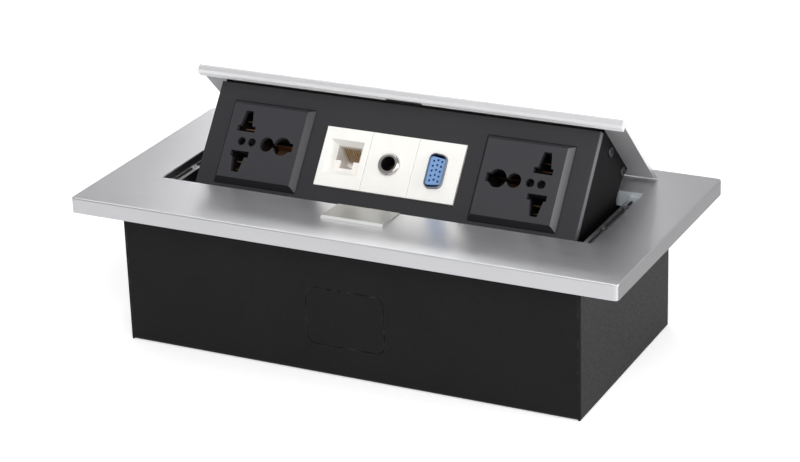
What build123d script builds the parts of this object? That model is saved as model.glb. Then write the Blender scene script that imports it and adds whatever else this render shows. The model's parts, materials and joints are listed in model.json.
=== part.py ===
from build123d import *
import math
import os

# Flip-up desk socket box: a sheet-metal housing hangs under an aluminium flange frame, and a hinged
# module (lid, socket panel, end plates) swings up out of the frame when the latch tab is pulled.
# Row frame: X along the length, +Y to the back, +Z up, origin at the centre of the flange's outline,
# on the housing's underside. Millimetres.

# ---- driving dimensions: flange frame ----
HEIGHT = 71.0            # flange top above the housing's underside
FLANGE_LENGTH = 265.0
FLANGE_WIDTH = 129.5
FLANGE_THICK = 7.3
OPENING_HALF = 106.05    # half length of the opening
OPENING_FRONT = -27.2
OPENING_BACK = 34.3
SIDE_LEDGE_X = 99.9      # inner edge of the side ledges
SIDE_LEDGE_DEPTH = 2.6
FRONT_LEDGE_Y = -24.7    # inner edge of the front ledge
FRONT_RECESS_Y = -22.0   # the recess for the lid's lip ends here at the sides
FRONT_LEDGE_DEPTH = 4.8
LEDGE_SCREW_X = 102.2
LEDGE_SCREW_RADIUS = 1.25
BLIND_Z = -3.2           # screw holes from below end here
SEAL_BREAK = 2.6         # the seal stops this far from a ledge screw
LEDGE_SCREW_YS = (-4.5, 22.0)
SCREW_HEAD_DEPTH = 1.3   # countersunk head of a ledge screw
FLANGE_CORNER = 2.0
FLANGE_EDGE = 0.8        # rounding of the flange's upper outer edges
RIM_BREAK = 0.35         # chamfer around the opening's upper edge
SEAL_X = (102.2, 103.1)  # side strips of the seal on the ledges
SEAL_GROOVE = 0.5        # depth and width of the groove around the housing on the underside

# ---- housing ----
HOUSING_LENGTH = 223.8
HOUSING_WIDTH = 107.2
HOUSING_Y = -0.9         # centre of the housing's width
SHEET = 1.2
HOUSING_TOP = HEIGHT - FLANGE_THICK
LIP_WIDTH = 8.0
KNOCKOUT_HALF = 19.3
KNOCKOUT_Z = (14.4, 42.0)
KNOCKOUT_CORNER = 4.5
SLIT = 0.3
KNOCKOUT_BRIDGE = 3.0    # width of the bridges that hold the knock-out
END_LIP_GAP = 3.0        # the end plates' lips stop this far from the tray's edges
END_TAB_Y = (-20.0, 30.0)
GROMMET_X = 60.0
GROMMET_Z = 20.0
GROMMET_BORE = 7.0
GROMMET_WALL = 3.0       # from the bore to the hole in the sheet

# ---- hinge ----
HINGE_Y = 44.1
HINGE_Z = -23.9          # below the flange top
OPEN_ANGLE = 45.0
PIN_RADIUS = 2.5
RUNNING_GAP = 0.05
BRACKET_X = 97.5         # inner face of each bracket's web
BRACKET_WEB = 2.0
BRACKET_Y = (37.2, 51.0)
BRACKET_OUTER_X = 110.0
BRACKET_SCREW_X = 105.0
BRACKET_SCREW_RADIUS = 1.5
BRACKET_SCREW_YS = (40.0, 47.5)
FOOT_THICK = 2.2
BUSH_WALL = 1.0
PIN_ENDS = {"left": 109.2, "right": 107.2}
PIN_HEAD = 1.5
PIN_BOSS = 8.0           # length of the end plates' bosses
DAMPER_X = (99.7, 107.5)
COLLAR_X = (-109.2, -106.3)
SPRING_RADIUS = 3.7
SPRING_WIRE = 0.5
SPRING_X = -100.3        # where the torsion spring's coil starts

# ---- lid ----
LID_HALF = 105.6
LID_THICK = 2.0
LID_FRONT = -26.7
LID_BACK = 33.5
LIP_DEPTH = 4.0
LIP_THICK = 4.2
LIP_ROUND = 0.8          # rounding where the lid's top turns into its lip
LIP_CHAMFER = 1.1        # flat along the lip's lower front edge
TAIL_RADIUS = 26.15      # the lid's tail is cut to this radius about the hinge

# ---- socket panel, in its own frame: x along, v up the panel, w out of its face ----
PANEL_RADIUS = 61.4      # from the hinge axis square to the panel's face
PANEL_LEAN = 7.3         # the closed panel's top leans forward by this many degrees
PANEL_HALF = 94.6
PANEL_THICK = 3.3
PANEL_V = (-25.3, 27.7)
EAR_X = (65.0, 85.0)     # the panel's lower ears, which carry the stop bumpers
EAR_DROP = 8.0
EAR_TOE = 2.0
END_THICK = 3.0
END_SCREW_RADIUS = 1.5
END_SCREWS = ((-3.7, -6.2), (16.8, -6.2))
NECK_Y = 19.5            # the goose-neck clears the flange's back edge when open
NECK_Z = -20.9

# ---- power sockets ----
SOCKET_X = 64.0
SOCKET_V = -0.7
SOCKET_W = 42.1
SOCKET_H = 39.8
SOCKET_RISE = 3.5
SOCKET_INSET = 2.2
FACE_THICK = 2.6
BASE_DEPTH = 20.0
SMALL_HOLE = 2.0         # radii of the round pin holes
MEDIUM_HOLE = 3.4
BIG_HOLE = 4.3
SMALL_HOLE_XS = (-10.6, -5.3)
MEDIUM_HOLE_X = 2.4
BIG_HOLE_X = 10.3
BLADE_X = -10.3          # middle of the blade slots
BLADE_V = 9.8
EARTH_X = 7.4
CONTACT_TOP = -4.5       # front edge of the line and neutral contacts' leaves
EARTH_TOP = -9.0
CONTACT_BACK = -16.5
BASE_SCREWS = ((-22.6, 14), (22.6, 14), (-22.6, -14), (22.6, -14))
BASE_SCREW_RADIUS = 1.2
BUSBAR_W = (21.6, 20.8)  # depth of the bars' back and front faces behind the panel's face
TERMINAL_XS = (-10.5, 0.0, 10.5)

# ---- data modules ----
MODULE_PITCH = 23.2
MODULE_H = 28.2
MODULE_V = -1.1
MODULE_RISE = 0.9
JACK_HOLE = 3.35
BARREL_RADIUS = 4.4
NUT_RADIUS = 5.25
SHELL_SIZE = (17.0, 8.6)  # the video connector's shell
SHELL_WALL = 0.5
PORT_SIZE = (11.8, 7.0)  # the network port's opening
CONTACT_PITCH = 1.02
PIN_PITCH = (2.0, 2.3)

# ---- latch ----
TAB_HALF = 15.2
TAB_FRONT = -44.9
TAB_BACK = -27.4
TAB_RISE = 1.3
TAB_NOSE = 1.1           # run and rise of the slope along the tab's front
TAB_LIFT = 0.05          # the tab slides just above the flange
STEM_HALF = 4.0
STEM_Y = (-37.0, -33.0)
HOOK_HALF = 3.5
HOOK_NOTCH_HALF = 9.0    # notches in the flange's front ledge and the lid's lip for the hook
HOOK_NOTCH = 1.6
HOOK_SHEET = 0.6
HOOK_BACK = -21.4
HOOK_TOP = -3.3
CARRIER_Z = (-9.3, -7.6)
GUIDE_FLOOR = -10.9
CARRIER_HALF = 14.1
CARRIER_Y = (-42.0, -23.0)
LATCH_TRAVEL = 2.0
GUIDE_SCREW = (19.0, -40.0)
GUIDE_SCREW_RADIUS = 1.25
GUIDE_EAR = 1.2

HOUSING_HALF = HOUSING_LENGTH / 2
HOUSING_FRONT = HOUSING_Y - HOUSING_WIDTH / 2
HOUSING_BACK = HOUSING_Y + HOUSING_WIDTH / 2
LEAN = math.radians(PANEL_LEAN)
PANEL_OUT = (0, -math.cos(LEAN), -math.sin(LEAN))
PANEL_FOOT = (0, HINGE_Y + PANEL_RADIUS * PANEL_OUT[1], HINGE_Z + PANEL_RADIUS * PANEL_OUT[2])
PANEL = Plane(origin=PANEL_FOOT, x_dir=(1, 0, 0), z_dir=PANEL_OUT)
HINGE_AXIS = Axis((0, HINGE_Y, HINGE_Z), (1, 0, 0))
SIDES = {"left": -1, "right": 1}

nodes = {}


# ---- small helpers ----
def block(x, y, z):
    """Box from three (low, high) pairs."""
    box = Box(x[1] - x[0], y[1] - y[0], z[1] - z[0])
    return Pos((x[0] + x[1]) / 2, (y[0] + y[1]) / 2, (z[0] + z[1]) / 2) * box


def mirrored(x, side):
    """An (inner, outer) pair of x values on the chosen side, in rising order."""
    return (x[0], x[1]) if side > 0 else (-x[1], -x[0])


def rod_x(radius, x, y, z):
    """Round bar along X."""
    bar = Rot(0, 90, 0) * Cylinder(radius, x[1] - x[0])
    return Pos((x[0] + x[1]) / 2, y, z) * bar


def rod_y(radius, x, y, z):
    """Round bar along Y."""
    bar = Rot(90, 0, 0) * Cylinder(radius, y[1] - y[0])
    return Pos(x, (y[0] + y[1]) / 2, z) * bar


def rod_z(radius, x, y, z):
    """Round bar along Z."""
    return Pos(x, y, (z[0] + z[1]) / 2) * Cylinder(radius, z[1] - z[0])


def plate_x(points, x):
    """Plate along X from an outline in (y, z)."""
    outline = Polygon(*points, align=None)
    return Pos(x[0], 0, 0) * extrude(Plane.YZ * outline, amount=x[1] - x[0], dir=(1, 0, 0))


def plate_w(outline, w):
    """Plate in the panel's own frame from a sketch in (x, v)."""
    return Pos(0, 0, w[0]) * extrude(outline, amount=w[1] - w[0], dir=(0, 0, 1))


def coil(radius, wire, length, turns):
    """Helical spring along Z, starting at z = 0."""
    path = Helix(pitch=length / turns, height=length, radius=radius)
    section = Plane(origin=path @ 0, z_dir=path % 0) * Circle(wire)
    return sweep(section, path=path)


def group(*solids):
    """Separate solids kept in one node."""
    return Compound(children=list(solids))


def keep_root(name, solid):
    """Housing piece: drawn from the flange's top face, moved to the row frame."""
    nodes[name] = Pos(0, 0, HEIGHT) * solid


def keep_moving(name, solid):
    """Module piece: drawn closed, then swung open about the hinge, which is the rest pose."""
    nodes[name] = Pos(0, 0, HEIGHT) * solid.rotate(HINGE_AXIS, -OPEN_ANGLE)


def keep_on_panel(name, solid):
    """Module piece drawn in the panel's own frame."""
    keep_moving(name, PANEL * solid)


# ---- flange and housing ----
def seal_groove():
    """Shallow groove just outside the housing, for a cord seal against the desk top."""
    inner = Rectangle(HOUSING_LENGTH + 1.0, HOUSING_WIDTH + 1.0)
    outer = Rectangle(HOUSING_LENGTH + 1.0 + 2 * SEAL_GROOVE, HOUSING_WIDTH + 1.0 + 2 * SEAL_GROOVE)
    return Pos(0, HOUSING_Y, -FLANGE_THICK) * extrude(outer - inner, amount=SEAL_GROOVE, both=True)


def opening_rim(slab):
    """Upper edges of the opening."""
    edges = slab.edges().filter_by_position(Axis.Z, -0.01, 0.01)
    edges = edges.filter_by_position(Axis.X, -OPENING_HALF - 0.01, OPENING_HALF + 0.01)
    return edges.filter_by_position(Axis.Y, OPENING_FRONT - 0.01, OPENING_BACK + 0.01)


def flange_frame():
    slab = Box(FLANGE_LENGTH, FLANGE_WIDTH, FLANGE_THICK)
    slab = fillet(slab.edges().filter_by(Axis.Z), FLANGE_CORNER)
    slab = fillet(slab.faces().sort_by(Axis.Z)[-1].edges(), FLANGE_EDGE)
    slab = Pos(0, 0, -FLANGE_THICK / 2) * slab
    opening = (OPENING_FRONT, OPENING_BACK)
    slab -= block((-OPENING_HALF, OPENING_HALF), opening, (-SIDE_LEDGE_DEPTH, 1))
    slab -= block((-SIDE_LEDGE_X, SIDE_LEDGE_X), opening, (-FRONT_LEDGE_DEPTH, 1))
    slab -= block((-OPENING_HALF, OPENING_HALF), (OPENING_FRONT, FRONT_RECESS_Y), (-FRONT_LEDGE_DEPTH, 1))
    slab -= block((-SIDE_LEDGE_X, SIDE_LEDGE_X), (FRONT_LEDGE_Y, OPENING_BACK), (-FLANGE_THICK - 1, 1))
    slab = chamfer(opening_rim(slab), RIM_BREAK)
    slab -= seal_groove()
    hook_y = (FRONT_LEDGE_Y - HOOK_NOTCH, FRONT_LEDGE_Y + 1)
    slab -= block((-HOOK_NOTCH_HALF, HOOK_NOTCH_HALF), hook_y, (-FLANGE_THICK - 1, -1))
    stem_y = (STEM_Y[0] - LATCH_TRAVEL - 0.4, STEM_Y[1] + 0.3)
    slab -= block((-STEM_HALF - 0.3, STEM_HALF + 0.3), stem_y, (-FLANGE_THICK - 1, 1))
    for side in SIDES.values():
        for y in LEDGE_SCREW_YS:
            x = side * LEDGE_SCREW_X
            slab -= rod_z(LEDGE_SCREW_RADIUS + 0.05, x, y, (-FLANGE_THICK - 1, 0))
            slab -= Pos(x, y, -SIDE_LEDGE_DEPTH - SCREW_HEAD_DEPTH / 2) * Cone(1.3, 2.15, SCREW_HEAD_DEPTH)
        for y in BRACKET_SCREW_YS:
            slab -= rod_z(BRACKET_SCREW_RADIUS, side * BRACKET_SCREW_X, y, (-FLANGE_THICK - 1, BLIND_Z))
        screw_x, screw_y = side * GUIDE_SCREW[0], GUIDE_SCREW[1]
        slab -= rod_z(GUIDE_SCREW_RADIUS, screw_x, screw_y, (-FLANGE_THICK - 1, BLIND_Z))
    return slab


def ledge_seal():
    """Foam strips under the closed lid; the side strips stop short of the ledge screws."""
    top = (-SIDE_LEDGE_DEPTH, -SIDE_LEDGE_DEPTH + 0.5)
    front_screw, back_screw = LEDGE_SCREW_YS
    runs = [(FRONT_RECESS_Y + 0.2, front_screw - SEAL_BREAK),
            (front_screw + SEAL_BREAK, back_screw - SEAL_BREAK), (back_screw + SEAL_BREAK, 29.0)]
    strips = [block(mirrored(SEAL_X, side), run, top) for side in SIDES.values() for run in runs]
    front = block((-105.0, 105.0), (OPENING_FRONT + 0.1, OPENING_FRONT + 1.4),
                  (-FRONT_LEDGE_DEPTH, -FRONT_LEDGE_DEPTH + 0.7))
    return group(front, *strips)


def knockout_slit():
    """Slit around the front cable knock-out, broken by a bridge in the middle of each side."""
    low, high = KNOCKOUT_Z
    size = (2 * KNOCKOUT_HALF, high - low)
    ring = RectangleRounded(*size, KNOCKOUT_CORNER)
    ring -= RectangleRounded(size[0] - 2 * SLIT, size[1] - 2 * SLIT, KNOCKOUT_CORNER - SLIT)
    ring -= Rectangle(size[0] + 2, KNOCKOUT_BRIDGE)
    ring -= Rectangle(KNOCKOUT_BRIDGE, size[1] + 2)
    upright = Rot(90, 0, 0) * extrude(ring, amount=4, both=True)
    return Pos(0, HOUSING_FRONT, (low + high) / 2) * upright


def housing_tray():
    inner = HOUSING_HALF - SHEET
    outline = [(HOUSING_FRONT, 0), (HOUSING_BACK, 0), (HOUSING_BACK, HOUSING_TOP), (HOUSING_FRONT, HOUSING_TOP)]
    tray = plate_x(outline, (-inner, inner))
    tray = fillet(tray.faces().sort_by(Axis.Z)[0].edges().filter_by(Axis.X), 1.5)
    tray -= block((-inner - 1, inner + 1), (HOUSING_FRONT + SHEET, HOUSING_BACK - SHEET), (SHEET, HOUSING_TOP + 1))
    tray -= knockout_slit()
    for x in (-GROMMET_X, GROMMET_X):
        tray -= rod_y(GROMMET_BORE + GROMMET_WALL, x, (HOUSING_BACK - 4, HOUSING_BACK + 4), GROMMET_Z)
    return tray


def housing_end(side):
    """End plate with spot-welded lips inside the tray and a tab under the flange's ledge."""
    wall = block(mirrored((HOUSING_HALF - SHEET, HOUSING_HALF), side), (HOUSING_FRONT, HOUSING_BACK),
                 (0, HOUSING_TOP))
    outer = wall.faces().sort_by(Axis.X)[-1 if side > 0 else 0]
    wall = fillet(outer.edges().filter_by(Axis.Z) + outer.edges().sort_by(Axis.Z)[:1], 0.8)
    lip_x = mirrored((HOUSING_HALF - LIP_WIDTH, HOUSING_HALF - SHEET), side)
    low_front = HOUSING_FRONT + SHEET
    low_back = HOUSING_BACK - SHEET
    wall += block(lip_x, (low_front, low_front + SHEET), (SHEET + END_LIP_GAP, HOUSING_TOP - END_LIP_GAP))
    wall += block(lip_x, (low_back - SHEET, low_back), (SHEET + 3, HOUSING_TOP - 26))
    wall += block(lip_x, (low_front + END_LIP_GAP, low_back - END_LIP_GAP), (SHEET, 2 * SHEET))
    tab = block(mirrored((SIDE_LEDGE_X, HOUSING_HALF - SHEET), side), END_TAB_Y,
                (HOUSING_TOP - 2.0, HOUSING_TOP))
    for y in LEDGE_SCREW_YS:
        tab -= rod_z(LEDGE_SCREW_RADIUS, side * LEDGE_SCREW_X, y, (HOUSING_TOP - 4, HOUSING_TOP + 1))
    return wall + tab


def ledge_screw(x, y):
    head = Pos(x, y, -SIDE_LEDGE_DEPTH - SCREW_HEAD_DEPTH / 2) * Cone(1.3, 2.1, SCREW_HEAD_DEPTH)
    shank = rod_z(LEDGE_SCREW_RADIUS, x, y, (-FLANGE_THICK - 3.5, -SIDE_LEDGE_DEPTH - 1.2))
    driver = Pos(x, y, -SIDE_LEDGE_DEPTH - 0.3) * extrude(RegularPolygon(0.9, 6), amount=1)
    return head + shank - driver


def cable_grommet(x):
    """Rubber grommet in the back wall: a groove grips the sheet and a bore takes the lead."""
    rim = GROMMET_BORE + GROMMET_WALL + 2.0
    body = rod_y(rim, x, (HOUSING_BACK - SHEET - 1.8, HOUSING_BACK + 1.8), GROMMET_Z)
    body = fillet(body.edges().filter_by(GeomType.CIRCLE), 0.8)
    groove = rod_y(rim + 1, x, (HOUSING_BACK - SHEET, HOUSING_BACK), GROMMET_Z)
    groove -= rod_y(GROMMET_BORE + GROMMET_WALL, x, (HOUSING_BACK - 4, HOUSING_BACK + 4), GROMMET_Z)
    return body - groove - rod_y(GROMMET_BORE, x, (HOUSING_BACK - 6, HOUSING_BACK + 6), GROMMET_Z)


# ---- hinge hardware on the housing ----
def hinge_bracket(side):
    web_x = mirrored((BRACKET_X, BRACKET_X + BRACKET_WEB), side)
    top = -FLANGE_THICK
    web = block(web_x, BRACKET_Y, (HINGE_Z, top)) + rod_x(6.9, web_x, HINGE_Y, HINGE_Z)
    foot = block(mirrored((BRACKET_X, BRACKET_OUTER_X), side), BRACKET_Y, (top - FOOT_THICK, top))
    bracket = web + foot
    for y in BRACKET_SCREW_YS:
        bracket -= rod_z(1.6, side * BRACKET_SCREW_X, y, (top - 4, top + 1))
    hole_x = mirrored((BRACKET_X - 1, BRACKET_X + BRACKET_WEB + 1), side)
    return bracket - rod_x(PIN_RADIUS + RUNNING_GAP + BUSH_WALL, hole_x, HINGE_Y, HINGE_Z)


def hinge_bush(side):
    """Flanged nylon bush: its flange spaces the end plate from the bracket."""
    inner_face = PANEL_HALF + 0.3
    bush = rod_x(PIN_RADIUS + RUNNING_GAP + BUSH_WALL, mirrored((inner_face, BRACKET_X + BRACKET_WEB), side),
                 HINGE_Y, HINGE_Z)
    bush += rod_x(5.2, mirrored((inner_face, BRACKET_X), side), HINGE_Y, HINGE_Z)
    return bush - rod_x(PIN_RADIUS + RUNNING_GAP, mirrored((90, 115), side), HINGE_Y, HINGE_Z)


def bracket_screw(x, y):
    under = -FLANGE_THICK - FOOT_THICK
    head = rod_z(2.7, x, y, (under - 1.9, under))
    socket = Pos(x, y, under - 2.0) * extrude(RegularPolygon(1.3, 6), amount=1.1)
    return head + rod_z(BRACKET_SCREW_RADIUS, x, y, (under, BLIND_Z - 0.2)) - socket


def torsion_spring():
    """Coil around the left pin; one leg bears on the bracket's foot, the other on the collar."""
    wound = Rot(0, -90, 0) * coil(SPRING_RADIUS, SPRING_WIRE, 5.0, 4)
    wound = Pos(SPRING_X, HINGE_Y, HINGE_Z) * wound
    leg_up = rod_z(SPRING_WIRE, SPRING_X, HINGE_Y - SPRING_RADIUS, (HINGE_Z, -FLANGE_THICK - FOOT_THICK - 0.1))
    return wound + leg_up


def damper_body():
    """Rotary damper: an oil-filled barrel around the right pin, with an ear against the bracket."""
    barrel = fillet(rod_x(6.6, DAMPER_X, HINGE_Y, HINGE_Z).edges().filter_by(GeomType.CIRCLE), 0.6)
    ear_z = (HINGE_Z, -FLANGE_THICK - FOOT_THICK - 0.2)
    ear = block((DAMPER_X[0], DAMPER_X[0] + 1.5), (HINGE_Y - 3, HINGE_Y + 3), ear_z)
    return barrel + ear - rod_x(PIN_RADIUS + RUNNING_GAP, (90, 115), HINGE_Y, HINGE_Z)


# ---- lid and end plates ----
def panel_back_y(z):
    """Y of the closed panel's back face at a height below the flange's top."""
    back = PANEL_RADIUS - PANEL_THICK
    foot_y = HINGE_Y + back * PANEL_OUT[1]
    foot_z = HINGE_Z + back * PANEL_OUT[2]
    return foot_y - (z - foot_z) * math.tan(LEAN)


def lid_plate():
    outline = [(LID_FRONT, 0), (LID_FRONT, -LIP_DEPTH), (LID_FRONT + LIP_THICK, -LIP_DEPTH),
               (LID_FRONT + LIP_THICK, -LID_THICK), (LID_BACK, -LID_THICK), (LID_BACK, 0)]
    lid = plate_x(outline, (-LID_HALF, LID_HALF))
    lid -= rod_x(TAIL_RADIUS, (-LID_HALF - 1, LID_HALF + 1), HINGE_Y, HINGE_Z)
    front = lid.edges().filter_by(Axis.X).filter_by_position(Axis.Y, LID_FRONT - 0.1, LID_FRONT + 0.1)
    lid = fillet(front.sort_by(Axis.Z)[-1], LIP_ROUND)
    lower = lid.edges().filter_by(Axis.X).filter_by_position(Axis.Y, LID_FRONT - 0.1, LID_FRONT + 0.1)
    lid = chamfer(lower.sort_by(Axis.Z)[0], LIP_CHAMFER)
    inner = LID_FRONT + LIP_THICK
    notch_y = (inner - HOOK_NOTCH, inner + 1)
    return lid - block((-HOOK_NOTCH_HALF, HOOK_NOTCH_HALF), notch_y, (-LIP_DEPTH - 1, -LID_THICK - 0.2))


def end_plate(side):
    """Side of the module: a deep plate with a goose-neck arm that reaches back to the pin."""
    top_y = panel_back_y(-LID_THICK)
    outline = [(top_y, -LID_THICK), (22.5, -LID_THICK), (19.5, -9.5), (NECK_Y, NECK_Z), (43.5, -18.6),
               (47.0, -24.0), (44.0, -29.2), (26.0, -38.0), (8.0, -57.0), (panel_back_y(-57.0), -57.0)]
    plate = plate_x(outline, mirrored((PANEL_HALF - END_THICK, PANEL_HALF), side))
    neck = plate.edges().filter_by(Axis.X).sort_by_distance((side * PANEL_HALF, NECK_Y, NECK_Z))[0]
    plate = fillet(neck, 3.5)
    boss_x = mirrored((PANEL_HALF - PIN_BOSS, PANEL_HALF), side)
    plate += rod_x(5.4, boss_x, HINGE_Y, HINGE_Z)
    for y, z in END_SCREWS:
        plate -= rod_x(END_SCREW_RADIUS, mirrored((PANEL_HALF - 5, PANEL_HALF + 1), side), y, z)
    return plate - rod_x(PIN_RADIUS, mirrored((80, 100), side), HINGE_Y, HINGE_Z)


def lid_bracket(side):
    """Angle bonded under the lid; the end plate is screwed to it."""
    outer = PANEL_HALF - END_THICK
    flat = block(mirrored((outer - 12, outer), side), (-10, 17.6), (-LID_THICK - 1.2, -LID_THICK))
    leg = block(mirrored((outer - 1.2, outer), side), (-10, 19.2), (-9.5, -LID_THICK))
    bracket = flat + leg
    for y, z in END_SCREWS:
        bracket -= rod_x(END_SCREW_RADIUS, mirrored((outer - 3, outer + 1), side), y, z)
    return bracket


def end_plate_screw(side, y, z):
    head = rod_x(2.4, mirrored((PANEL_HALF, PANEL_HALF + 0.9), side), y, z)
    head = fillet(head.edges().filter_by(GeomType.CIRCLE).sort_by(Axis.X)[-1 if side > 0 else 0], 0.4)
    recess_x = mirrored((PANEL_HALF + 0.5, PANEL_HALF + 2), side)
    slot = block(recess_x, (y - 1.5, y + 1.5), (z - 0.3, z + 0.3))
    cross = block(recess_x, (y - 0.3, y + 0.3), (z - 1.5, z + 1.5))
    shank = rod_x(END_SCREW_RADIUS, mirrored((PANEL_HALF - 4.3, PANEL_HALF), side), y, z)
    return head + shank - slot - cross


def pivot_pin(side, outer):
    """Headed pin through the end plate's boss, the bush and the bracket, to the given outer end."""
    inner = PANEL_HALF - PIN_BOSS
    pin = rod_x(PIN_RADIUS, mirrored((inner - PIN_HEAD, outer), side), HINGE_Y, HINGE_Z)
    head = rod_x(4.2, mirrored((inner - PIN_HEAD, inner), side), HINGE_Y, HINGE_Z)
    return pin + head


def spring_collar():
    """Collar on the left pin with a slot for the spring's leg."""
    ring = rod_x(5.0, COLLAR_X, HINGE_Y, HINGE_Z)
    ring -= rod_x(PIN_RADIUS, (-112, -104), HINGE_Y, HINGE_Z)
    return ring - block((-107.2, -106), (HINGE_Y - 4.3, HINGE_Y - 3.1), (HINGE_Z - 6, HINGE_Z + 6))


def rear_cover():
    """Folded sheet that closes the wiring space behind the sockets."""
    outer = [(18.9, -3.4), (18.9, -19.5), (6.4, -55.6), (-9.6, -55.6)]
    inner = [(-9.6, -54.6), (5.7, -54.6), (17.9, -19.3), (17.9, -3.4)]
    half = PANEL_HALF - END_THICK - 0.1
    cover = plate_x(outer + inner, (-half, half))
    for side in SIDES.values():
        cover -= block(mirrored((half - 1.2, half + 1), side), (17, 20), (-9.8, -3))
    return cover


# ---- socket panel ----
def socket_panel():
    low, high = PANEL_V
    panel = block((-PANEL_HALF, PANEL_HALF), (low, high), (-PANEL_THICK, 0))
    panel = fillet(panel.faces().sort_by(Axis.Z)[-1].edges(), 0.4)
    for side in SIDES.values():
        x = side * SOCKET_X
        window = Rectangle(SOCKET_W + 0.5, SOCKET_H + 0.5)
        panel -= Pos(x, SOCKET_V, 0) * plate_w(window, (-PANEL_THICK - 1, 1))
        ear = block(mirrored(EAR_X, side), (low - EAR_DROP, low), (-PANEL_THICK, 0))
        ear += block(mirrored(EAR_X, side), (low - EAR_DROP, low - EAR_DROP + EAR_TOE), (0, 5.0))
        panel += ear
        for screw_x, v in BASE_SCREWS:
            panel -= rod_z(BASE_SCREW_RADIUS, x + screw_x, SOCKET_V + v, (-PANEL_THICK - 1, -1.1))
    data = Rectangle(3 * MODULE_PITCH + 0.4, MODULE_H + 0.4)
    return panel - Pos(0, MODULE_V, 0) * plate_w(data, (-PANEL_THICK - 1, 1))


def stop_bumper(side):
    toe = PANEL_V[0] - EAR_DROP + EAR_TOE
    return block(mirrored((EAR_X[0] + 1, EAR_X[1] - 1), side), (toe, toe + 1.1), (1.2, 4.5))


def blade_slot(sign):
    """Line or neutral opening: a cross bar next to the middle and a tapering upright beyond it."""
    bar = Pos(BLADE_X + 0.3, sign * 6.1) * Rectangle(9.2, 2.8)
    taper = [(BLADE_X - 3.2, 7.3), (BLADE_X + 3.2, 7.3), (BLADE_X + 1.8, 14.8), (BLADE_X - 1.8, 14.8)]
    upright = Polygon(*[(x, sign * v) for x, v in taper], align=None)
    return bar + upright


def pin_openings():
    """Every opening in a socket's face, drawn about the socket's centre."""
    holes = Pos(MEDIUM_HOLE_X, 0) * Circle(MEDIUM_HOLE) + Pos(BIG_HOLE_X, 0) * Circle(BIG_HOLE)
    holes += Pos((MEDIUM_HOLE_X + BIG_HOLE_X) / 2, 0) * Rectangle(4.0, 2.0)
    holes += Pos(BIG_HOLE_X + BIG_HOLE, 0) * Rectangle(2.4, 4.2)
    for x in SMALL_HOLE_XS:
        holes += Pos(x, 0) * Circle(SMALL_HOLE)
    return holes + blade_slot(1) + blade_slot(-1)


def at_socket(side, solid):
    """The right socket is the left one turned half a turn on the panel."""
    turn = 0 if side < 0 else 180
    return Pos(side * SOCKET_X, SOCKET_V, 0) * Rot(0, 0, turn) * solid


def socket_cover():
    base = Rectangle(SOCKET_W, SOCKET_H)
    top = Rectangle(SOCKET_W - 2 * SOCKET_INSET, SOCKET_H - 2 * SOCKET_INSET)
    raised = loft([base.face(), (Pos(0, 0, SOCKET_RISE) * top).face()])
    cover = raised + plate_w(base, (-PANEL_THICK, 0))
    hollow = Rectangle(SOCKET_W - 2 * SOCKET_INSET - 2, SOCKET_H - 2 * SOCKET_INSET - 2)
    cover -= plate_w(hollow, (-PANEL_THICK - 1, SOCKET_RISE - FACE_THICK))
    return cover - plate_w(pin_openings(), (-1, SOCKET_RISE + 1))


def earth_pocket():
    return Rectangle(19.5, 9.6)


def blade_pocket():
    return Rectangle(10.4, 11.0)


def socket_base():
    """Moulded base behind the panel, with a pocket for each contact and four screw ears."""
    flange = plate_w(Rectangle(SOCKET_W + 6, SOCKET_H + 2), (-PANEL_THICK - 2.2, -PANEL_THICK))
    body = plate_w(Rectangle(SOCKET_W - 4, SOCKET_H - 3), (-BASE_DEPTH, -PANEL_THICK - 2.2))
    base = flange + body
    base -= Pos(EARTH_X, 0) * plate_w(earth_pocket(), (CONTACT_BACK - 0.9, 1))
    for sign in (1, -1):
        base -= Pos(BLADE_X, sign * BLADE_V) * plate_w(blade_pocket(), (CONTACT_BACK - 0.9, 1))
        base -= block((BLADE_X - 2.2, BLADE_X + 2.2), (sign * BLADE_V - 0.6, sign * BLADE_V + 0.6),
                      (-BASE_DEPTH - 1, -10))
    for x in SMALL_HOLE_XS:
        base -= rod_z(SMALL_HOLE, x, 0, (-14, 0))
    base -= block((EARTH_X - 2.2, EARTH_X + 2.2), (-0.6, 0.6), (-BASE_DEPTH - 1, -10))
    for x, v in BASE_SCREWS:
        base -= rod_z(BASE_SCREW_RADIUS, x, v, (-PANEL_THICK - 3, 0))
    return base


def base_screw(x, v):
    back = -PANEL_THICK - 2.2
    return rod_z(BASE_SCREW_RADIUS, x, v, (back, -1.2)) + rod_z(2.1, x, v, (back - 1.6, back))


def pin_contact(x, v, half_width, gap, top=CONTACT_TOP):
    """Two sprung leaves joined by a bridge, with a tail through the base."""
    leaf = 0.6
    piece = block((x - half_width, x + half_width), (v - gap - leaf, v + gap + leaf),
                  (CONTACT_BACK, CONTACT_BACK + leaf))
    for low in (v - gap - leaf, v + gap):
        piece += block((x - half_width, x + half_width), (low, low + leaf), (CONTACT_BACK, top))
    return piece + block((x - 2.0, x + 2.0), (v - 0.4, v + 0.4), (-BUSBAR_W[0], CONTACT_BACK))


def socket_contacts():
    earth = pin_contact(EARTH_X, 0, 8.6, 3.3, EARTH_TOP)
    line = pin_contact(BLADE_X, BLADE_V, 4.2, 1.6)
    neutral = pin_contact(BLADE_X, -BLADE_V, 4.2, 1.6)
    return group(earth, line, neutral)


def busbar(v, x):
    """Stamped bar behind both sockets; a slot at each end takes a contact's tail."""
    bar = block((x[0] - 4, x[1] + 4), (v - 2.4, v + 2.4), (-BUSBAR_W[0], -BUSBAR_W[1]))
    for end in x:
        bar -= block((end - 2.0, end + 2.0), (v - 0.4, v + 0.4), (-BUSBAR_W[0] - 1, -BUSBAR_W[1] + 1))
    return bar


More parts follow.
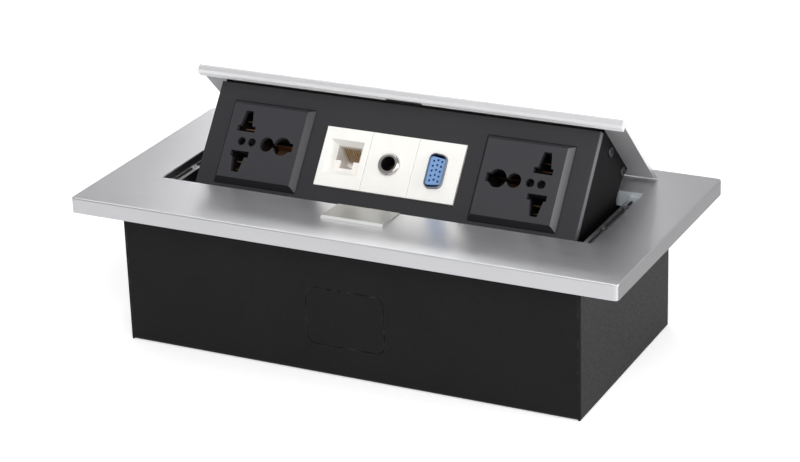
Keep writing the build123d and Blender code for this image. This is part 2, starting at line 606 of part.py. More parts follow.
def terminal_block():
    body = block((-16, 16), (3.0, 17.5), (-15.0, -5.0))
    body = fillet(body.edges().filter_by(Axis.Z), 1.0)
    for x in TERMINAL_XS:
        body -= rod_y(1.9, x, (-1, 13), -11.5)
        body -= rod_z(1.9, x, 8.0, (-10.0, -4))
    return body


def terminal_screw(x):
    screw = rod_z(1.8, x, 8.0, (-9.8, -7.6))
    return screw - block((x - 2, x + 2), (7.7, 8.3), (-8.2, -7))


# ---- data modules ----
def module_blank():
    """White snap-in module: a face plate with side walls, open at the back."""
    blank = plate_w(Rectangle(MODULE_PITCH - 0.1, MODULE_H), (-PANEL_THICK - 1.4, MODULE_RISE))
    blank = fillet(blank.faces().sort_by(Axis.Z)[-1].edges(), 0.35)
    return blank - plate_w(Rectangle(MODULE_PITCH - 2.1, MODULE_H - 2.0), (-PANEL_THICK - 2, -1.3))


def network_module():
    """The opening narrows through a sloping funnel down to the jack."""
    wide = Pos(0, 0.4, MODULE_RISE + 0.01) * Rectangle(17.2, 16.2)
    narrow = Pos(0, 0.9, -4.0) * Rectangle(12.2, 11.8)
    wall = Pos(0, 0.6) * plate_w(Rectangle(19.4, 18.4), (-4.0, 0))
    return module_blank() + wall - loft([narrow.face(), wide.face()])


def network_jack():
    body = plate_w(Rectangle(17.0, 17.0), (-20.0, -4.0))
    plug = Pos(0, 2.9) * plate_w(Rectangle(*PORT_SIZE), (-17.0, -3))
    clip = Pos(0, -2.1) * plate_w(Rectangle(6.2, 4.2), (-17.0, -3))
    return Pos(0, 0.6) * (body - plug - clip)


def network_contacts():
    """Eight sprung wires along the top of the jack, sloping towards the back."""
    wires = []
    for number in range(8):
        x = (number - 3.5) * CONTACT_PITCH
        wire = Rot(-24, 0, 0) * Box(0.45, 0.45, 9.5)
        wires.append(Pos(x, 4.3, -10.2) * wire)
    return group(*wires)


def audio_module():
    return module_blank() - plate_w(Circle(BARREL_RADIUS + 0.1), (-5, 2))


def audio_jack_body():
    """Threaded barrel through the face and the jack's moulded body behind it."""
    barrel = plate_w(Circle(BARREL_RADIUS), (-5.0, MODULE_RISE + 1.0))
    body = plate_w(Rectangle(13.0, 15.0), (-20.0, -5.0))
    return barrel + body - plate_w(Circle(JACK_HOLE), (-18.0, 4))


def audio_jack_nut():
    nut = plate_w(Circle(NUT_RADIUS), (MODULE_RISE, MODULE_RISE + 1.7))
    nut = fillet(nut.edges().filter_by(GeomType.CIRCLE).sort_by(Axis.Z)[-1], 1.0)
    return nut - plate_w(Circle(BARREL_RADIUS), (0, 1.9)) - plate_w(Circle(JACK_HOLE + 0.1), (0, 4))


def d_outline(length, width, corner):
    """D-shaped connector outline with its long row on the left."""
    slope = 0.9
    points = [(-width / 2, -length / 2), (width / 2, -length / 2 + slope),
              (width / 2, length / 2 - slope), (-width / 2, length / 2)]
    return fillet(Polygon(*points, align=None).vertices(), corner)


def video_module():
    return module_blank() - plate_w(d_outline(SHELL_SIZE[0] + 0.2, SHELL_SIZE[1] + 0.2, 2.9), (-5, 2))


def video_shell():
    length, width = SHELL_SIZE
    shell = plate_w(d_outline(length, width, 2.8), (-6.0, MODULE_RISE + 1.3))
    inside = d_outline(length - 2 * SHELL_WALL, width - 2 * SHELL_WALL, 2.3)
    shell -= plate_w(inside, (-7.0, MODULE_RISE + 2))
    return shell + plate_w(Rectangle(12.0, 24.0), (-6.8, -6.0)) - plate_w(Rectangle(6.4, 14.0), (-8, -5))


def video_insert():
    insert = plate_w(d_outline(13.6, 7.5, 1.2), (-6.0, MODULE_RISE + 0.7))
    body = plate_w(Rectangle(6.2, 13.8), (-12.0, -6.0))
    insert += body
    for column in (-1, 0, 1):
        for row in range(5):
            shift = 0.55 if column == 0 else 0.0
            insert -= rod_z(0.55, column * PIN_PITCH[0], (row - 2) * PIN_PITCH[1] + shift, (-2, 3))
    return insert


def data_frame():
    """Clip frame that holds the three modules against the back of the panel."""
    frame = plate_w(Rectangle(3 * MODULE_PITCH + 8, MODULE_H + 8), (-PANEL_THICK - 2.0, -PANEL_THICK))
    return frame - plate_w(Rectangle(3 * MODULE_PITCH + 0.2, MODULE_H + 0.2), (-PANEL_THICK - 3, 0))


# ---- latch ----
def latch_tab():
    """Finger tab: a wedge that rises towards the front, on a stem through the flange."""
    outline = [(TAB_BACK, TAB_LIFT), (TAB_BACK, TAB_LIFT + 0.3), (TAB_FRONT + TAB_NOSE, TAB_RISE),
               (TAB_FRONT, TAB_RISE - TAB_NOSE), (TAB_FRONT, TAB_LIFT)]
    wedge = plate_x(outline, (-TAB_HALF, TAB_HALF))
    stem = block((-STEM_HALF, STEM_HALF), STEM_Y, (CARRIER_Z[1], 0.2))
    return wedge + stem - rod_z(1.2, 0, sum(STEM_Y) / 2, (-10, -3.5))


def latch_carrier():
    plate = block((-CARRIER_HALF, CARRIER_HALF), CARRIER_Y, CARRIER_Z)
    return plate - rod_z(1.2, 0, sum(STEM_Y) / 2, (-10, -7))


def latch_screw():
    y = sum(STEM_Y) / 2
    return rod_z(1.2, 0, y, (CARRIER_Z[0], -3.8)) + rod_z(2.3, 0, y, (CARRIER_Z[0] - 1.6, CARRIER_Z[0]))


def latch_leaf():
    """Spring-steel hook that snaps over the closed panel's top edge."""
    x = (-HOOK_HALF, HOOK_HALF)
    foot_z = (CARRIER_Z[0] - HOOK_SHEET, CARRIER_Z[0])
    foot = block(x, (-29.0, HOOK_BACK), foot_z)
    leg = block(x, (HOOK_BACK - HOOK_SHEET, HOOK_BACK), (foot_z[0], HOOK_TOP))
    nose = block(x, (HOOK_BACK - HOOK_SHEET, -18.9), (HOOK_TOP - HOOK_SHEET, HOOK_TOP))
    return foot + leg + nose


def latch_guide():
    """Keeper under the flange: two rails under the carrier's edges and a web for the spring."""
    top = -FLANGE_THICK
    keeper = block((-16.0, 16.0), (-52.0, -50.5), (GUIDE_FLOOR, top))
    for side in SIDES.values():
        keeper += block(mirrored((14.4, 16.0), side), (-52.0, -28.0), (GUIDE_FLOOR, top))
        keeper += block(mirrored((12.4, 16.0), side), (-50.5, -28.0), (GUIDE_FLOOR, -9.7))
        keeper += block(mirrored((16.0, 22.0), side), (-44.0, -36.0), (top - GUIDE_EAR, top))
        keeper -= rod_z(1.3, side * GUIDE_SCREW[0], GUIDE_SCREW[1], (-10, -7))
    return keeper


def guide_screw(side):
    x, y = side * GUIDE_SCREW[0], GUIDE_SCREW[1]
    under = -FLANGE_THICK - GUIDE_EAR
    return rod_z(GUIDE_SCREW_RADIUS, x, y, (under, BLIND_Z - 0.2)) + rod_z(2.2, x, y, (under - 1.5, under))


def latch_spring():
    wound = Rot(90, 0, 0) * coil(1.2, 0.25, 7.9, 6)
    return Pos(0, -42.3, -8.95) * wound


# ---- assembly ----
def build_housing():
    keep_root("flange_frame", flange_frame())
    keep_root("ledge_seal", ledge_seal())
    nodes["housing_tray"] = housing_tray()
    keep_root("ledge_screws", group(*[ledge_screw(s * LEDGE_SCREW_X, y) for s in SIDES.values()
                                      for y in LEDGE_SCREW_YS]))
    nodes["cable_grommet_power"] = cable_grommet(-GROMMET_X)
    nodes["cable_grommet_data"] = cable_grommet(GROMMET_X)
    keep_root("bracket_screws", group(*[bracket_screw(s * BRACKET_SCREW_X, y) for s in SIDES.values()
                                        for y in BRACKET_SCREW_YS]))
    keep_root("torsion_spring", torsion_spring())
    keep_root("damper_body", damper_body())
    keep_root("latch_guide", latch_guide())
    keep_root("guide_screws", group(*[guide_screw(side) for side in SIDES.values()]))
    keep_root("latch_spring", latch_spring())
    for name, side in SIDES.items():
        nodes["housing_end_" + name] = housing_end(side)
        keep_root("hinge_bracket_" + name, hinge_bracket(side))
        keep_root("hinge_bush_" + name, hinge_bush(side))


def build_latch():
    keep_root("latch_tab", latch_tab())
    keep_root("latch_carrier", latch_carrier())
    keep_root("latch_leaf", latch_leaf())
    keep_root("latch_screw", latch_screw())


def build_lid_and_ends():
    keep_moving("lid_plate", lid_plate())
    keep_moving("rear_cover", rear_cover())
    keep_moving("spring_collar", spring_collar())
    screws = [end_plate_screw(side, y, z) for side in SIDES.values() for y, z in END_SCREWS]
    keep_moving("end_plate_screws", group(*screws))
    for name, side in SIDES.items():
        keep_moving("end_plate_" + name, end_plate(side))
        keep_moving("lid_bracket_" + name, lid_bracket(side))
        keep_moving("pivot_pin_" + name, pivot_pin(side, PIN_ENDS[name]))
    keep_moving("terminal_block", terminal_block())
    keep_moving("terminal_screws", group(*[terminal_screw(x) for x in TERMINAL_XS]))


def build_sockets():
    keep_on_panel("socket_panel", socket_panel())
    keep_on_panel("stop_bumpers", group(*[stop_bumper(side) for side in SIDES.values()]))
    screws = []
    for name, side in SIDES.items():
        keep_on_panel("socket_cover_" + name, at_socket(side, socket_cover()))
        keep_on_panel("socket_base_" + name, at_socket(side, socket_base()))
        keep_on_panel("socket_contacts_" + name, at_socket(side, socket_contacts()))
        screws += [at_socket(side, base_screw(x, v)) for x, v in BASE_SCREWS]
    keep_on_panel("socket_base_screws", group(*screws))
    blade_x = SOCKET_X - BLADE_X
    keep_on_panel("upper_busbar", busbar(SOCKET_V + BLADE_V, (-blade_x, blade_x)))
    keep_on_panel("lower_busbar", busbar(SOCKET_V - BLADE_V, (-blade_x, blade_x)))
    earth_x = SOCKET_X - EARTH_X
    keep_on_panel("earth_busbar", busbar(SOCKET_V, (-earth_x, earth_x)))


def build_data_modules():
    def at_module(number, solid):
        return Pos(number * MODULE_PITCH, MODULE_V, 0) * solid
    keep_on_panel("data_frame", Pos(0, MODULE_V, 0) * data_frame())
    keep_on_panel("network_module", at_module(-1, network_module()))
    keep_on_panel("network_jack", at_module(-1, network_jack()))
    keep_on_panel("network_contacts", at_module(-1, network_contacts()))
    keep_on_panel("audio_module", at_module(0, audio_module()))
    keep_on_panel("audio_jack_body", at_module(0, audio_jack_body()))
    keep_on_panel("audio_jack_nut", at_module(0, audio_jack_nut()))
    keep_on_panel("video_module", at_module(1, video_module()))
    keep_on_panel("video_shell", at_module(1, video_shell()))
    keep_on_panel("video_insert", at_module(1, video_insert()))


build_housing()
build_latch()
build_lid_and_ends()
build_sockets()
build_data_modules()

os.makedirs("parts", exist_ok=True)
for name, solid in nodes.items():
    export_step(solid, f"parts/{name}.step")
print(len(nodes), "nodes")
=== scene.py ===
import json
import math

import bpy
from mathutils import Matrix, Vector


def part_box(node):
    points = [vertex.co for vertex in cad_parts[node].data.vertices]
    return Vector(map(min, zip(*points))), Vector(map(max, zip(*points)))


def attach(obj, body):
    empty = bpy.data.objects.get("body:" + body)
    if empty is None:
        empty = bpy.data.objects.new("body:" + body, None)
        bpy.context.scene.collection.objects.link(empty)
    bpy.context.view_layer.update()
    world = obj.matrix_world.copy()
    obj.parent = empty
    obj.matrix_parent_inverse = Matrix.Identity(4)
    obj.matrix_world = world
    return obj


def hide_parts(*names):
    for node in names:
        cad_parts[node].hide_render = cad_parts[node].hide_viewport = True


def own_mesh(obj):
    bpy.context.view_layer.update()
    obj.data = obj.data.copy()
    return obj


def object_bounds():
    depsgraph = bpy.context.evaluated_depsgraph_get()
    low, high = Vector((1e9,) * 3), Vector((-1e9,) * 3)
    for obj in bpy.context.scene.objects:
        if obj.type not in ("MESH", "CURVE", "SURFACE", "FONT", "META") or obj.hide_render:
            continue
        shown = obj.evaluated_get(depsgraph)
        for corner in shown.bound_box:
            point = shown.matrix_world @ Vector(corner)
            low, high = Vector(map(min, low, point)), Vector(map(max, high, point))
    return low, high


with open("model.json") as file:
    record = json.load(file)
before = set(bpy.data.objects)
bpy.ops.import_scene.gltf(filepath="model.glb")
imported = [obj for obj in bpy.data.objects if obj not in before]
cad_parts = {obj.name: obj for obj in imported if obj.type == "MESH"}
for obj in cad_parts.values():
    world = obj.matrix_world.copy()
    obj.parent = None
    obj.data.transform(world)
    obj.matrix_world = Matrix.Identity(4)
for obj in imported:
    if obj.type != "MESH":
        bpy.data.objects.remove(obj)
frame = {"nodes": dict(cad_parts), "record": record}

# Flip-up desk socket box, shown standing open on a pale floor under soft studio light.
# Metres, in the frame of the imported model: X along the length, +Y to the back, +Z up.

CAD_LOW, CAD_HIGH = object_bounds()
MIDDLE = (CAD_LOW + CAD_HIGH) / 2
MM = 0.001

# ---- camera and light ----
CAMERA_PLACE = (0.4790, -0.9559, 0.4906)
CAMERA_AZIMUTH = 26.55
CAMERA_ELEVATION = 22.40
CAMERA_ROLL = -1.83
CAMERA_LENS = 114.3
WORLD_COLOUR = (0.99, 0.99, 1.0, 1)
WORLD_STRENGTH = 0.36

# ---- floor ----
FLOOR_HALF = 6.0
FLOOR_DROP = 0.2 * MM
FLOOR_GLOW = 0.38

# ---- sides of the resting model that get their own finish, painted shade and painted highlights ----
# The lid rests at 45 degrees, so its underside faces down and to the front.
UP = (0.0, 0.0, 1.0)
DOWN = (0.0, 0.0, -1.0)
RIGHT = (1.0, 0.0, 0.0)
FRONT = (0.0, -1.0, 0.0)
BACK = (0.0, 1.0, 0.0)
LID_DOWN = (0.0, -math.sqrt(0.5), -math.sqrt(0.5))

# ---- areas with a colour of their own: painted shade, painted light and a painted highlight ----
# The ledge's colour starts AREA_DEPTH below the flange's top, and the lip's as far above the lip's end.
AREA_DEPTH = 1.0 * MM
AREA_FADE = 0.3 * MM
# The ledge runs from painted shade at its left end to its full colour at its right, over this distance on
# each side of the middle.
LEDGE_BLEND = 50 * MM
LEDGE_LEFT_SHADE_GAIN = 0.3
BACK_HALF_BLEND = 10 * MM
# Pale colours put on as painted light: on the opening's back wall, and as a painted highlight on the
# lip's lower edge.
BACK_WALL_PAINTED_LIGHT = (0.42, 0.46, 0.48)
LIP_EDGE_PAINTED_HIGHLIGHT = (0.95, 0.95, 0.95)
METAL, MATT = 1.0, 0.0

# ---- audio jack sleeve ----
SLEEVE_WALL = 0.15 * MM
SLEEVE_DEPTH = (0.5 * MM, 7.0 * MM)
SLEEVE_SIDES = 48


def heading(azimuth, elevation):
    """Unit vector from the object towards a viewer or a lamp. Azimuth 0 is the front and 90 the right."""
    a, e = math.radians(azimuth), math.radians(elevation)
    return Vector((math.sin(a) * math.cos(e), -math.cos(a) * math.cos(e), math.sin(e)))


def add_camera():
    """The main view, from the front right and above."""
    camera = bpy.data.objects.new("Camera", bpy.data.cameras.new("Camera"))
    bpy.context.scene.collection.objects.link(camera)
    camera.data.lens = CAMERA_LENS
    camera.data.clip_start, camera.data.clip_end = 0.05, 50.0
    turn = (-heading(CAMERA_AZIMUTH, CAMERA_ELEVATION)).to_track_quat("-Z", "Y")
    roll = Matrix.Rotation(math.radians(CAMERA_ROLL), 4, "Z")
    camera.matrix_world = Matrix.Translation(CAMERA_PLACE) @ turn.to_matrix().to_4x4() @ roll
    bpy.context.scene.camera = camera


def add_softbox(name, azimuth, elevation, distance, size, power):
    """White area lamp that points at the middle of the object."""
    lamp = bpy.data.lights.new(name, "AREA")
    lamp.shape = "RECTANGLE"
    lamp.size, lamp.size_y = size
    lamp.energy = power
    box = bpy.data.objects.new(name, lamp)
    bpy.context.scene.collection.objects.link(box)
    towards = heading(azimuth, elevation)
    box.location = MIDDLE + towards * distance
    box.rotation_mode = "QUATERNION"
    box.rotation_quaternion = (-towards).to_track_quat("-Z", "Y")


def add_light():
    """Three broad soft lights, and a small weak one behind that draws the lid's shadow on the flange."""
    world = bpy.data.worlds.new("Studio")
    bpy.context.scene.world = world
    world.use_nodes = True
    background = world.node_tree.nodes["Background"]
    background.inputs["Color"].default_value = WORLD_COLOUR
    background.inputs["Strength"].default_value = WORLD_STRENGTH
    add_softbox("Key", azimuth=207, elevation=28, distance=1.6, size=(0.26, 0.26), power=1.3)
    add_softbox("Front", azimuth=20, elevation=42, distance=1.7, size=(1.2, 0.8), power=16)
    add_softbox("Top", azimuth=-100, elevation=70, distance=1.8, size=(1.5, 1.5), power=8)
    add_softbox("Right", azimuth=98, elevation=10, distance=1.5, size=(1.2, 0.8), power=24)


def add_floor():
    """Wide sheet of slightly glowing paper just under the object."""
    half = FLOOR_HALF
    mesh = bpy.data.meshes.new("Floor")
    corners = [(-half, -half, 0), (half, -half, 0), (half, half, 0), (-half, half, 0)]
    mesh.from_pydata(corners, [], [(0, 1, 2, 3)])
    floor = bpy.data.objects.new("Floor", mesh)
    bpy.context.scene.collection.objects.link(floor)
    floor.location.z = -FLOOR_DROP
    paper = Finish("Floor_paper", (0.86, 0.86, 0.86), 0.9)
    paper.set("Emission Color", (1, 1, 1, 1))
    paper.set("Emission Strength", FLOOR_GLOW)
    mesh.materials.append(paper.material)


# ---- materials ----
class Finish:
    """A Principled material and short calls that add procedural detail to it."""

    def __init__(self, name, colour, roughness, metallic=0.0, specular=0.5):
        self.material = bpy.data.materials.new(name)
        self.material.use_nodes = True
        self.nodes = self.material.node_tree.nodes
        self.shader = self.nodes["Principled BSDF"]
        self.colour = colour
        self.set("Base Color", (*colour, 1))
        self.set("Roughness", roughness)
        self.set("Metallic", metallic)
        self.set("Specular IOR Level", specular)
        coordinates = self.add("TexCoord")
        self.place = coordinates.outputs["Object"]
        self.normal = coordinates.outputs["Normal"]

    def set(self, socket, value):
        self.shader.inputs[socket].default_value = value

    def link(self, source, target):
        self.material.node_tree.links.new(source, target)

    def add(self, kind, inputs=None, **settings):
        """A node with its settings, and its inputs as values or as other nodes' outputs."""
        node = self.nodes.new("ShaderNode" + kind)
        for key, value in settings.items():
            setattr(node, key, value)
        for key, value in (inputs or {}).items():
            if isinstance(value, bpy.types.NodeSocket):
                self.link(value, node.inputs[key])
            else:
                node.inputs[key].default_value = value
        return node

    def noise(self, size, detail=2.0, stretch=(1, 1, 1)):
        """Noise whose blotches are about size metres across, longer where stretch is more than 1."""
        scale = [1 / s for s in stretch]
        moved = self.add("Mapping", {"Vector": self.place, "Scale": scale}).outputs["Vector"]
        inputs = {"Vector": moved, "Scale": 1 / size, "Detail": detail, "Roughness": 0.55}
        return self.add("TexNoise", inputs).outputs["Fac"]

    def between(self, value, low, high, start=0.3, end=0.7):
        """A value that runs from low to high as the given one runs from start to end."""
        inputs = {"Value": value, "From Min": start, "From Max": end, "To Min": low, "To Max": high}
        return self.add("MapRange", inputs).outputs["Result"]

    def sum(self, a, b):
        return self.add("Math", {0: a, 1: b}, operation="ADD").outputs["Value"]

    def times(self, a, b):
        return self.add("Math", {0: a, 1: b}, operation="MULTIPLY").outputs["Value"]

    def dot(self, a, b):
        return self.add("VectorMath", {0: a, 1: b}, operation="DOT_PRODUCT").outputs["Value"]

    def inverse(self, mask):
        return self.between(mask, 1.0, 0.0, 0.0, 1.0)

    def tint(self, fraction, first, second):
        """Colour between two colours or colour outputs."""
        mix = self.add("Mix", data_type="RGBA")
        for key, value in ((0, fraction), (6, first), (7, second)):
            if isinstance(value, bpy.types.NodeSocket):
                self.link(value, mix.inputs[key])
            else:
                mix.inputs[key].default_value = value if key == 0 else (*value, 1)
        return mix.outputs[2]

    def shade(self, gain):
        """The finish's own colour, brighter or darker by a gain."""
        return tuple(min(1.0, channel * gain) for channel in self.colour)

    def edges(self, radius):
        """1 on sharp edges, fading to 0 at about radius from them."""
        rounded = self.add("Bevel", {"Radius": radius}, samples=6).outputs["Normal"]
        flat = self.add("NewGeometry").outputs["Normal"]
        return self.between(self.dot(rounded, flat), 1.0, 0.0, 0.86, 0.995)

    def facing(self, direction, start=0.8, end=0.95):
        """1 where the surface faces the given direction of the model's frame, 0 elsewhere."""
        return self.between(self.dot(self.normal, direction), 0.0, 1.0, start, end)

    def along(self, direction, start, end):
        """0 up to start metres along a direction of the model's frame, and 1 from end metres on."""
        return self.between(self.dot(self.place, direction), 0.0, 1.0, start, end)

    def bump(self, height, depth, strength=1.0):
        inputs = {"Height": height, "Distance": depth, "Strength": strength}
        self.link(self.add("Bump", inputs).outputs["Normal"], self.shader.inputs["Normal"])

    def use(self, socket, output):
        self.link(output, self.shader.inputs[socket])


def satin_aluminium(name, colour, roughness, matt_and_painted_side_gain, dull_side=None, dull_metal=1.0, right_side_shade_gain=1.0,
                    areas=None):
    """Anodised aluminium with fine brushing along X, its edges paler partly from wear and partly as a
    painted highlight.
    The side mask is the given dull_side, or else every side that doesn't face up; those sides are rougher
    and take a colour gain that is painted shade on the flange, a painted highlight on the tab and a matt
    tone on the lid's underside. Right-facing sides can take a gain of painted shade. Areas is a function
    of the skin and the side mask that lists each area's mask, colour and share of metal."""
    skin = Finish(name, colour, roughness, metallic=1.0)
    brushing = skin.noise(0.5 * MM, 3.0, (60, 1, 1))
    grain = skin.noise(0.35 * MM)
    clouds = skin.noise(45 * MM, 3.0)
    streaky = skin.tint(skin.between(brushing, 0.0, 1.0), skin.shade(0.965), skin.shade(1.03))
    # Edges are paler, partly from wear and partly as a painted highlight.
    edge = skin.times(skin.edges(0.35 * MM), skin.between(skin.noise(4 * MM), 0.1, 0.5))
    wear_and_highlight = skin.tint(edge, streaky, skin.shade(1.2))
    # The side mask's colour gain is painted shade on the flange, a painted highlight on the tab and a
    # matt tone on the lid's underside.
    side_mask = skin.facing(dull_side) if dull_side else skin.facing(UP, 0.9, 0.6)
    around = skin.tint(side_mask, wear_and_highlight, skin.shade(matt_and_painted_side_gain))
    # Right-facing sides take a gain of painted shade.
    coat = skin.tint(skin.facing(RIGHT), around, skin.shade(right_side_shade_gain))
    metal = skin.between(side_mask, 1.0, dull_metal, 0.0, 1.0)
    for mask, own_colour, own_metal in areas(skin, side_mask) if areas else []:
        coat = skin.tint(mask, coat, own_colour)
        metal = skin.times(metal, skin.between(mask, 1.0, own_metal, 0.0, 1.0))
    skin.use("Base Color", coat)
    skin.use("Metallic", metal)
    base = skin.between(clouds, roughness - 0.02, roughness + 0.02)
    rough = skin.sum(skin.between(brushing, -0.03, 0.03), base)
    skin.use("Roughness", skin.sum(rough, skin.times(side_mask, 0.12)))
    skin.bump(skin.sum(brushing, grain), 0.006 * MM)
    return skin.material


def flange_areas(skin, not_up):
    """The flange's sunk ledge, with painted shade at its left end, and the opening's back wall, given a
    pale matt colour as painted light.
    """
    start = AREA_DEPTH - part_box("flange_frame")[1].z
    sunk = skin.along(DOWN, start, start + AREA_FADE)
    right_half = skin.along(RIGHT, -LEDGE_BLEND, LEDGE_BLEND)
    ledge = skin.times(sunk, skin.inverse(not_up))
    # The ledge's left end is darkened as painted shade.
    ledge_painted_shade_colour = skin.tint(right_half, skin.shade(LEDGE_LEFT_SHADE_GAIN), skin.colour)
    # The back wall's pale matt colour is painted light.
    lit_back_wall = skin.times(skin.facing(FRONT), skin.along(BACK, 0.0, BACK_HALF_BLEND))
    return [(ledge, ledge_painted_shade_colour, METAL), (lit_back_wall, BACK_WALL_PAINTED_LIGHT, MATT)]


def lid_areas(skin, downward):
    """The lower edge of the lid's lip, given a pale matt colour as a painted highlight."""
    lip_end = max(Vector(LID_DOWN).dot(v.co) for v in frame["nodes"]["lid_plate"].data.vertices)
    start = lip_end - AREA_DEPTH
    # Pale matt colour on the lip's lower edge as a painted highlight.
    lip_highlight = skin.along(LID_DOWN, start, start + AREA_FADE)
    return [(skin.times(downward, lip_highlight), LIP_EDGE_PAINTED_HIGHLIGHT, MATT)]


def powder_coat(name, colour, roughness, specular=0.12):
    """Black powder paint: a fine orange peel, rubbed a little on its edges."""
    skin = Finish(name, colour, roughness, specular=specular)
    peel = skin.noise(1.1 * MM, 1.0)
    dust = skin.noise(0.3 * MM)
    rubbed = skin.times(skin.edges(0.6 * MM), skin.between(skin.noise(6 * MM), 0.0, 1.0, 0.45, 0.7))
    clouds = skin.between(skin.noise(30 * MM), 0.0, 1.0)
    mottled = skin.tint(clouds, skin.shade(0.92), skin.shade(1.1))
    skin.use("Base Color", skin.tint(rubbed, mottled, (0.05, 0.05, 0.052)))
    skin.use("Roughness", skin.between(peel, roughness - 0.05, roughness + 0.05))
    skin.bump(skin.sum(peel, skin.times(dust, 0.3)), 0.05 * MM, 0.6)
    return skin.material


def moulded(name, colour, roughness, specular, edge_highlight_gain=1.15, right_side_light_gain=1.0):
    """Moulded plastic with a spark-eroded grain, a painted highlight along its edges and painted light on
    its right-facing sides.
    """
    skin = Finish(name, colour, roughness, specular=specular)
    fine = skin.noise(0.45 * MM, 2.0)
    flow = skin.noise(18 * MM, 2.0)
    body = skin.tint(skin.between(flow, 0.0, 1.0), skin.shade(0.97), skin.shade(1.03))
    # Edges are paler as a painted highlight.
    painted_edge_shine = skin.times(skin.edges(0.3 * MM), 0.5)
    whole = skin.tint(painted_edge_shine, body, skin.shade(edge_highlight_gain))
    # Right-facing sides are lightened as painted light.
    skin.use("Base Color", skin.tint(skin.facing(RIGHT), whole, skin.shade(right_side_light_gain)))
    skin.use("Roughness", skin.between(fine, roughness - 0.04, roughness + 0.04))
    skin.bump(fine, 0.02 * MM, 0.5)
    return skin.material


def plated(name, colour, roughness):
    """Plated or bare metal with faint clouding and fine drawing marks."""
    skin = Finish(name, colour, roughness, metallic=1.0)
    marks = skin.noise(0.3 * MM, 2.0)
    clouds = skin.between(skin.noise(5 * MM, 3.0), 0.0, 1.0)
    skin.use("Base Color", skin.tint(clouds, skin.shade(0.88), skin.shade(1.05)))
    skin.use("Roughness", skin.between(marks, roughness - 0.05, roughness + 0.05))
    skin.bump(marks, 0.01 * MM, 0.6)
    return skin.material


def soft_black(name, colour, roughness, pore):
    """Rubber or foam: matt, with pores of the given size."""
    skin = Finish(name, colour, roughness, specular=0.25)
    pores = skin.noise(pore, 3.0)
    skin.use("Base Color", skin.tint(skin.between(pores, 0.0, 1.0), skin.shade(0.7), skin.shade(1.3)))
    skin.bump(pores, pore * 0.3, 0.7)
    return skin.material


def all_finishes():
    """One finish for each of the record's material slots."""
    return {
        # The flange's sides that don't face up, and those facing right, are darkened as painted shade.
        "flange_aluminium": satin_aluminium("Flange_satin", (0.80, 0.80, 0.82), 0.33, matt_and_painted_side_gain=0.66,
                                            right_side_shade_gain=0.24, areas=flange_areas),
        "lid_aluminium": satin_aluminium("Lid_satin", (0.68, 0.68, 0.69), 0.30, matt_and_painted_side_gain=0.62,
                                         dull_side=LID_DOWN, dull_metal=0.3, areas=lid_areas),
        # The tab's sides that don't face up are lightened as a painted highlight.
        "tab_aluminium": satin_aluminium("Tab_satin", (0.50, 0.50, 0.49), 0.32, matt_and_painted_side_gain=1.9),
        "black_steel": powder_coat("Black_powder", (0.0068, 0.0068, 0.0072), 0.55),
        # The panel's right-facing side is lightened as painted light.
        "panel_plastic": moulded("Charcoal_panel", (0.028, 0.028, 0.0305), 0.5, 0.24, right_side_light_gain=3.5),
        "socket_plastic": moulded("Charcoal_socket", (0.035, 0.035, 0.040), 0.40, 0.30),
        "black_plastic": moulded("Black_moulding", (0.010, 0.010, 0.011), 0.5, 0.3),
        "base_plastic": moulded("Dark_base", (0.015, 0.015, 0.016), 0.6, 0.3),
        "white_plastic": moulded("Ivory_plastic", (0.90, 0.89, 0.85), 0.35, 0.5, edge_highlight_gain=1.0),
        "jack_plastic": moulded("Pale_jack", (0.86, 0.83, 0.79), 0.4, 0.5, edge_highlight_gain=1.0),
        "blue_plastic": moulded("Blue_insert", (0.17, 0.31, 0.58), 0.4, 0.5),
        "nylon": moulded("Nylon", (0.72, 0.70, 0.64), 0.5, 0.4),
        "zinc_steel": plated("Zinc_plate", (0.62, 0.63, 0.65), 0.35),
        "screw_steel": plated("Screw_steel", (0.45, 0.45, 0.46), 0.35),
        "pin_steel": plated("Pin_steel", (0.58, 0.58, 0.60), 0.22),
        "spring_steel": plated("Spring_steel", (0.42, 0.42, 0.43), 0.3),
        "brass": plated("Brass", (0.80, 0.62, 0.36), 0.28),
        "gold": plated("Gold_plate", (0.55, 0.36, 0.15), 0.3),
        "chrome": plated("Chrome", (0.66, 0.64, 0.62), 0.10),
        "shell_metal": plated("Nickel_plate", (0.30, 0.33, 0.40), 0.3),
        "rubber": soft_black("Rubber", (0.015, 0.015, 0.015), 0.75, 0.4 * MM),
        "foam_seal": soft_black("Foam", (0.02, 0.02, 0.02), 0.9, 0.5 * MM),
    }


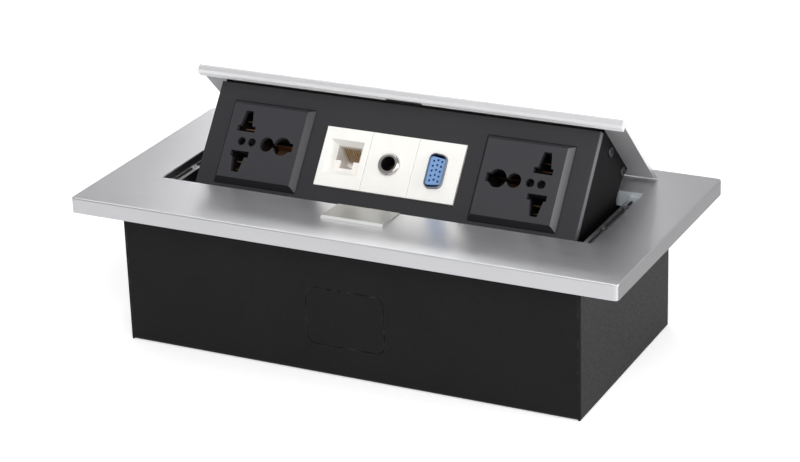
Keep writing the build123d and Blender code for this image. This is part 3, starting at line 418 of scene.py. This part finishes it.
def dress_cad_nodes():
    """Each node gets its slot's finish; a few nodes have one of their own."""
    finishes = all_finishes()
    end_paint = powder_coat("End_plate_paint", (0.006, 0.006, 0.0065), 0.7, 0.06)
    dull_zinc = plated("Dull_zinc", (0.06, 0.06, 0.064), 0.6)
    # The socket contacts' brass is darkened as painted shade inside the holes, the right socket's much
    # more than the left's.
    hole_shaded_brass = plated("Hole_shaded_brass", (0.055, 0.035, 0.019), 0.45)
    half_shaded_red_brass = plated("Half_shaded_red_brass", (0.36, 0.20, 0.11), 0.4)
    own = {
        "end_plate_left": end_paint,
        "end_plate_right": end_paint,
        "end_plate_screws": dull_zinc,
        "socket_contacts_left": half_shaded_red_brass,
        "socket_contacts_right": hole_shaded_brass,
    }
    for name, node in frame["nodes"].items():
        for place in node.material_slots:
            place.material = own.get(name, finishes[place.material.name])


# ---- added pieces ----
def add_jack_sleeve(finish):
    """Brass sleeve that lines the front of the audio jack's bore."""
    jack = next(mount for mount in frame["record"]["mounts"] if mount["name"] == "audio_jack")
    outer = jack["dims"]["r_mm"] * MM
    inner = outer - SLEEVE_WALL
    front, rear = SLEEVE_DEPTH
    rings = [(outer, front), (inner, front), (inner, rear), (outer, rear)]
    turns = [2 * math.pi * step / SLEEVE_SIDES for step in range(SLEEVE_SIDES)]
    points = [(r * math.cos(t), r * math.sin(t), -depth) for r, depth in rings for t in turns]
    faces = []
    for ring in range(len(rings)):
        low, high = ring * SLEEVE_SIDES, (ring + 1) % len(rings) * SLEEVE_SIDES
        for step in range(SLEEVE_SIDES):
            after = (step + 1) % SLEEVE_SIDES
            faces.append((low + step, low + after, high + after, high + step))
    mesh = bpy.data.meshes.new("Audio_sleeve")
    mesh.from_pydata(points, [], faces)
    mesh.materials.append(finish)
    sleeve = bpy.data.objects.new("Audio_sleeve", mesh)
    bpy.context.scene.collection.objects.link(sleeve)
    sleeve.rotation_mode = "QUATERNION"
    sleeve.rotation_quaternion = Vector(jack["axis"]).to_track_quat("Z", "Y")
    sleeve.location = jack["pos_m"]
    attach(sleeve, "flip_module")


def add_latch_coil():
    """Copy of the latch's return spring, fixed to the housing with a mesh of its own, in place of the
    spring node.
    """
    spring = frame["nodes"]["latch_spring"]
    coil = bpy.data.objects.new("Latch_coil", spring.data.copy())
    bpy.context.scene.collection.objects.link(coil)
    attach(coil, "housing")
    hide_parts("latch_spring")
    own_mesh(coil)


bpy.context.scene.view_settings.view_transform = "Standard"
add_camera()
add_light()
add_floor()
dress_cad_nodes()
add_jack_sleeve(plated("Sleeve_brass", (0.62, 0.40, 0.18), 0.3))
add_latch_coil()
